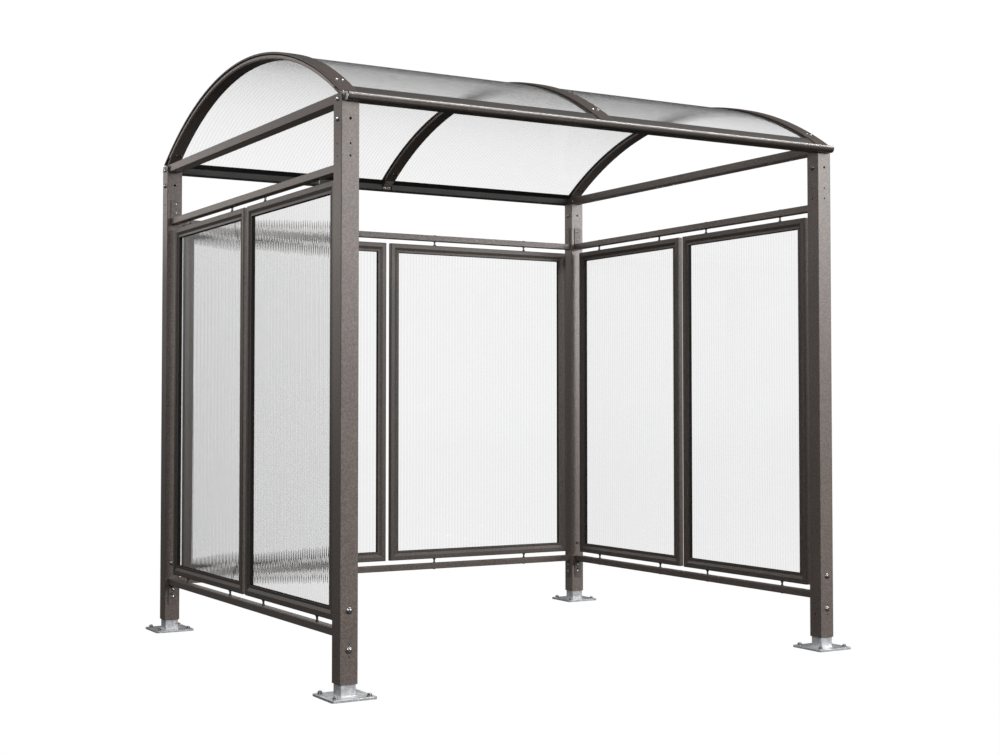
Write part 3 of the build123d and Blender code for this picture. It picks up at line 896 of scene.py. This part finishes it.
# ---------------------------------------------------------------- stage, light, camera
fm, fnt, fb, fout = new_mat("studio_floor")
fb.inputs["Base Color"].default_value = (0.03, 0.03, 0.03, 1.0)
fb.inputs["Roughness"].default_value = 0.9
fb.inputs["Specular IOR Level"].default_value = 0.0
fb.inputs["Emission Color"].default_value = (1.0, 1.0, 1.0, 1.0)
fpath = node(fnt, "ShaderNodeLightPath")
fnt.links.new(math_node(fnt, "LESS_THAN", fpath.outputs["Glossy Depth"], 0.5), fb.inputs["Emission Strength"])
bpy.ops.mesh.primitive_plane_add(size=160.0, location=(0, 0, -0.0005))
floor = bpy.context.object
floor.name = "studio_floor"
floor.data.materials.append(fm)
fm.cycles.emission_sampling = "NONE"
floor.visible_diffuse = False
floor.visible_glossy = False

world = bpy.data.worlds.new("studio")
scene.world = world
world.use_nodes = True
wn = world.node_tree
wn.nodes.clear()
wout = wn.nodes.new("ShaderNodeOutputWorld")
tc = wn.nodes.new("ShaderNodeTexCoord")
sep = wn.nodes.new("ShaderNodeSeparateXYZ")
wn.links.new(tc.outputs["Generated"], sep.inputs[0])
LOBES = [((-0.45, 0.82, 0.35), 3.0, 0.28), ((0.35, -0.86, 0.37), 3.0, 0.05)]
glow = None
for aim, power, gain in LOBES:
    dot = node(wn, "ShaderNodeVectorMath", operation="DOT_PRODUCT")
    dot.inputs[1].default_value = aim
    wn.links.new(tc.outputs["Generated"], dot.inputs[0])
    lobe = math_node(wn, "MULTIPLY", math_node(wn, "POWER", math_node(wn, "MAXIMUM", dot.outputs["Value"], 0.0), power), gain)
    glow = lobe if glow is None else math_node(wn, "ADD", glow, lobe)
glow = math_node(wn, "MULTIPLY", glow, remap(wn, sep.outputs["Z"], -0.20, 0.22, 0.35, 1.0))
sky = ramp(wn, remap(wn, sep.outputs["Z"], -1.0, 1.0, 0.0, 1.0), [(0.0, (0.012, 0.011, 0.010)), (0.5, (0.02, 0.02, 0.02)), (1.0, (0.06, 0.06, 0.06))])
env = node(wn, "ShaderNodeVectorMath", operation="ADD")
wn.links.new(sky, env.inputs[0])
wn.links.new(glow, env.inputs[1])
bg_env = wn.nodes.new("ShaderNodeBackground")
wn.links.new(env.outputs[0], bg_env.inputs[0])
bg_env.inputs[1].default_value = 1.0
bg_white = wn.nodes.new("ShaderNodeBackground")
bg_white.inputs[0].default_value = (1, 1, 1, 1)
bg_white.inputs[1].default_value = 1.02
lp = wn.nodes.new("ShaderNodeLightPath")
clean = math_node(wn, "LESS_THAN", lp.outputs["Diffuse Depth"], 0.5)
straight = math_node(wn, "LESS_THAN", lp.outputs["Glossy Depth"], 0.5)
straight = math_node(wn, "MAXIMUM", straight, remap(wn, sep.outputs["Z"], 0.08, 0.26, 0.0, 1.0))
through = math_node(wn, "MULTIPLY", math_node(wn, "MULTIPLY", lp.outputs["Is Transmission Ray"], clean), straight)
seen = math_node(wn, "MAXIMUM", lp.outputs["Is Camera Ray"], through)
wmix = wn.nodes.new("ShaderNodeMixShader")
wn.links.new(seen, wmix.inputs[0])
wn.links.new(bg_env.outputs[0], wmix.inputs[1])
wn.links.new(bg_white.outputs[0], wmix.inputs[2])
wn.links.new(wmix.outputs[0], wout.inputs[0])


def area(name, loc, target, size, power, tone=(1, 1, 1)):
    data = bpy.data.lights.new(name, "AREA")
    data.shape = "RECTANGLE"
    data.size, data.size_y = size
    data.energy = power
    data.color = tone
    ob = bpy.data.objects.new(name, data)
    scene.collection.objects.link(ob)
    ob.location = loc
    ob.rotation_euler = (Vector(target) - Vector(loc)).to_track_quat("-Z", "Y").to_euler()
    ob.visible_camera = False
    ob.visible_transmission = False
    return ob


SOFTBOXES = {
    "front_left_box": ((-4.0, -5.0, 3.4), (-1.0, -0.6, 1.9), (2.5, 1.2), 100.0, "all"),
    "front_strip_a": ((0.0, -5.9, 2.9), (0.0, -1.1, 1.9), (3.0, 1.0), 66.0, "frame"),
    "front_strip_b": ((3.0, -5.9, 2.9), (1.0, -0.6, 1.9), (3.0, 1.0), 110.0, "frame"),
    "front_strip_c": ((10.4, -12.0, 4.8), (1.2, 0.2, 1.9), (6.0, 2.2), 580.0, "frame"),
    "front_high": ((10.4, -11.7, 8.2), (1.2, 0.2, 1.9), (6.3, 2.6), 780.0, "frame"),
    "back_strip_a": ((-1.8, 5.2, 2.9), (0.0, 1.0, 1.9), (2.6, 1.0), 12.0, "frame"),
    "back_strip_b": ((-4.4, 5.0, 2.9), (-1.2, 0.4, 1.9), (2.6, 1.0), 17.0, "frame"),
    "back_mid": ((-4.4, 5.0, 1.7), (-1.2, 0.4, 1.3), (2.6, 0.8), 7.0, "frame"),
    "back_high": ((-4.4, 5.0, 4.8), (-1.2, 0.4, 1.9), (2.6, 1.2), 18.0, "frame"),
    "eaves_strip": ((1.6, -1.35, 6.4), (1.6, -1.2, 2.4), (8.0, 0.5), 600.0, "gutter"),
    "eaves_strip_low": ((1.6, -3.6, 5.6), (1.6, -1.2, 2.4), (8.0, 1.2), 330.0, "gutter"),
    "overhead_strip": ((1.0, -2.4, 6.4), (1.0, -1.0, 2.6), (7.0, 0.6), 80.0, "cap"),
    "floor_bounce": ((0.0, 0.0, 0.03), (0.0, 0.001, 2.0), (5.0, 5.0), 20.0, "rail"),
    "base_fill": ((-1.0, -3.2, 5.0), (0.0, 0.0, 0.0), (4.0, 2.0), 130.0, "base"),
    "far_post_fill": ((5.76, -5.9, 2.6), (1.26, 1.06, 1.6), (2.5, 1.2), 182.0, "far_post"),
    "far_post_side": ((-6.0, 0.2, 2.0), (1.26, 1.06, 1.4), (1.6, 1.2), 105.0, "far_post"),
    "eaves_front": ((0.0, -5.6, 0.2), (0.0, -1.2, 2.4), (7.0, 4.0), 110.0, "gutter"),
    "left_glint": ((-5.2, -2.4, 4.4), (-1.3, -1.1, 2.3), (1.6, 1.6), 420.0, "bright"),
    "rear_box": ((6.5, 7.0, 1.6), (0.0, 0.0, 1.4), (5.0, 2.6), 1000.0, "all"),
    "left_lip": ((-6.0, -2.5, 0.9), (0.0, 0.0, 2.5), (3.0, 2.0), 320.0, "lip"),
}
lit = {key: bpy.data.collections.new(f"lit_{key}") for key in ("all", "frame", "gutter", "cap", "rail", "base", "far_post", "bright", "lip")}
CLEAR = ("sheet_", "roof_left", "roof_right", "panel_sheet", "roof_sheet", "studio_floor")
for ob in scene.objects:
    if ob.type != "MESH" or ob.name.startswith(CLEAR):
        continue
    lit["all"].objects.link(ob)
    if not ob.name.startswith("eaves_gutter"):
        lit["frame"].objects.link(ob)
    if ob.name.startswith("cap_strip"):
        lit["cap"].objects.link(ob)
    if ob.name.startswith("side_beam") or (ob.name.startswith("rail_") and ob.name.endswith("upper")):
        lit["rail"].objects.link(ob)
    if ob.name.startswith(("base_plate", "ground_anchors", "socket_welds")):
        lit["base"].objects.link(ob)
    if ob.name == "upright_back_right":
        lit["far_post"].objects.link(ob)
    if ob.name == "eaves_gutter_front":
        lit["gutter"].objects.link(ob)
    if ob.name.startswith("arch_seal"):
        lit["lip"].objects.link(ob)
    if ob.name in ("post_bolts", "cap_screws"):
        lit["bright"].objects.link(ob)
for name, (loc, target, size, power, group) in SOFTBOXES.items():
    tone = (1.0, 0.93, 0.87) if name.startswith("back_") else (1.0, 1.0, 1.0)
    lamp = area(name, loc, target, size, power, tone)
    lamp.visible_glossy = name != "rear_box"
    lamp.light_linking.receiver_collection = lit[group]

cam = bpy.data.cameras.new("camera")
cam.sensor_width = 36.0
cam.lens = 55.604
cam.shift_y = -0.01994
cam.clip_end = 300.0
camera = bpy.data.objects.new("camera", cam)
scene.collection.objects.link(camera)
camera.location = (-3.88056, -6.80522, 1.16422)
camera.rotation_euler = (math.radians(90.0 + 1.8551), 0.0, math.radians(-30.3297))
scene.camera = camera

scene.view_settings.view_transform = "Standard"
scene.view_settings.look = "None"
cy = scene.cycles
cy.max_bounces = 24
cy.transmission_bounces = 24
cy.transparent_max_bounces = 32
cy.glossy_bounces = 6
cy.diffuse_bounces = 3
cy.caustics_reflective = False
cy.caustics_refractive = False
cy.use_denoising = True

bpy.context.view_layer.update()
